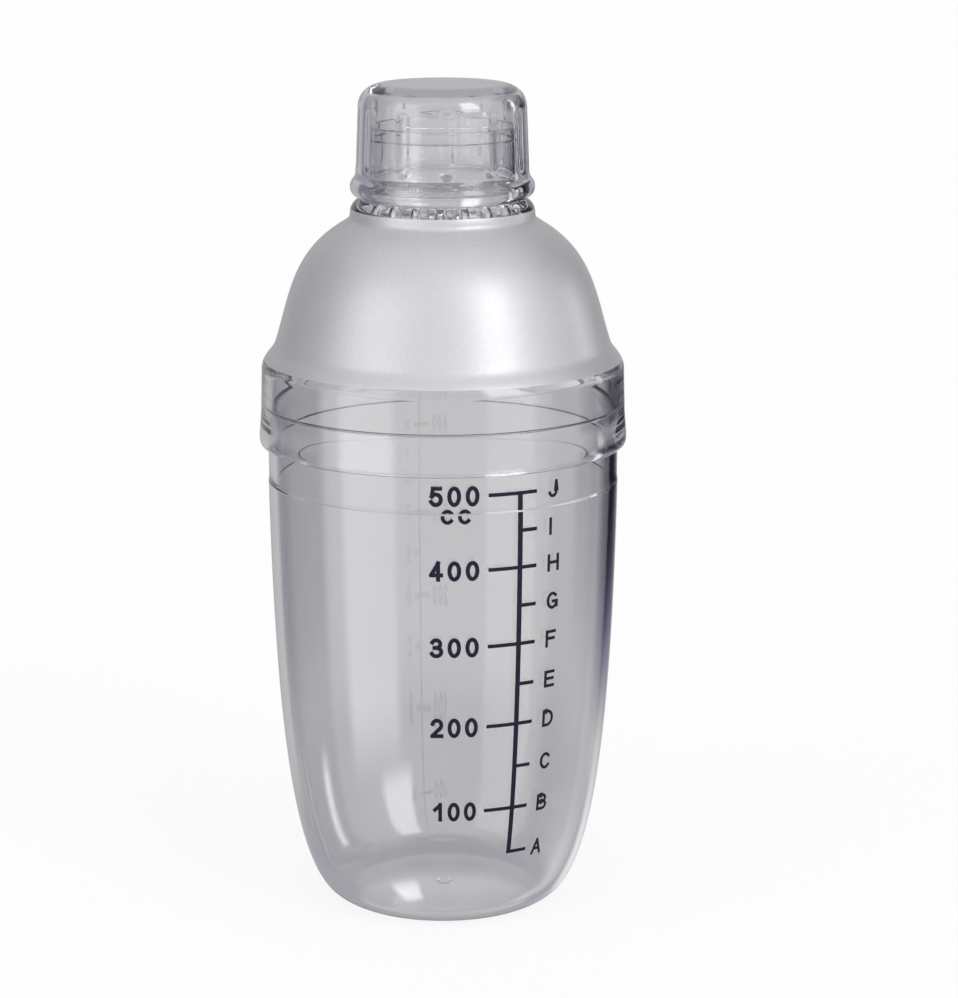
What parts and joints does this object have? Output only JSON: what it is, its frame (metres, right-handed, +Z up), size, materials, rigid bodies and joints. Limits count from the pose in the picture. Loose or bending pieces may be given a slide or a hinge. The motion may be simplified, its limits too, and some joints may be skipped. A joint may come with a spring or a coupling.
{
  "type": "cocktail shaker",
  "caption": "Clear plastic cocktail shaker: a tapered cup with a measuring scale, a domed lid with a built-in strainer and pouring neck, and a push-on fluted cap.",
  "frame": {"origin": "centre of the flat foot, on the surface that the shaker stands on", "axes": "+Z up along the shaker's axis; -Y is the side that carries the printed scale"},
  "size_m": [0.09, 0.09, 0.2039],
  "materials": {
    "clear_plastic": "clear moulded polycarbonate, glossy, very slightly grey",
    "pearl_plastic": "satin pearl-grey frosting on clear plastic",
    "scale_ink": "near-black screen-printed ink of the measuring scale, on the cup"
  },
  "bodies": {
    "cup_body": {"cup": "clear_plastic"},
    "lid_body": {"strainer_lid": "pearl_plastic"},
    "cap_body": {"cap": "clear_plastic"}
  },
  "joints": [
    {"name": "lid_lift", "type": "slide", "parent": "cup_body", "child": "lid_body", "axis": [0, 0, 1], "range_m": [0, 0.08]},
    {"name": "cap_lift", "type": "slide", "parent": "lid_body", "child": "cap_body", "axis": [0, 0, 1], "range_m": [0, 0.05]}
  ]
}
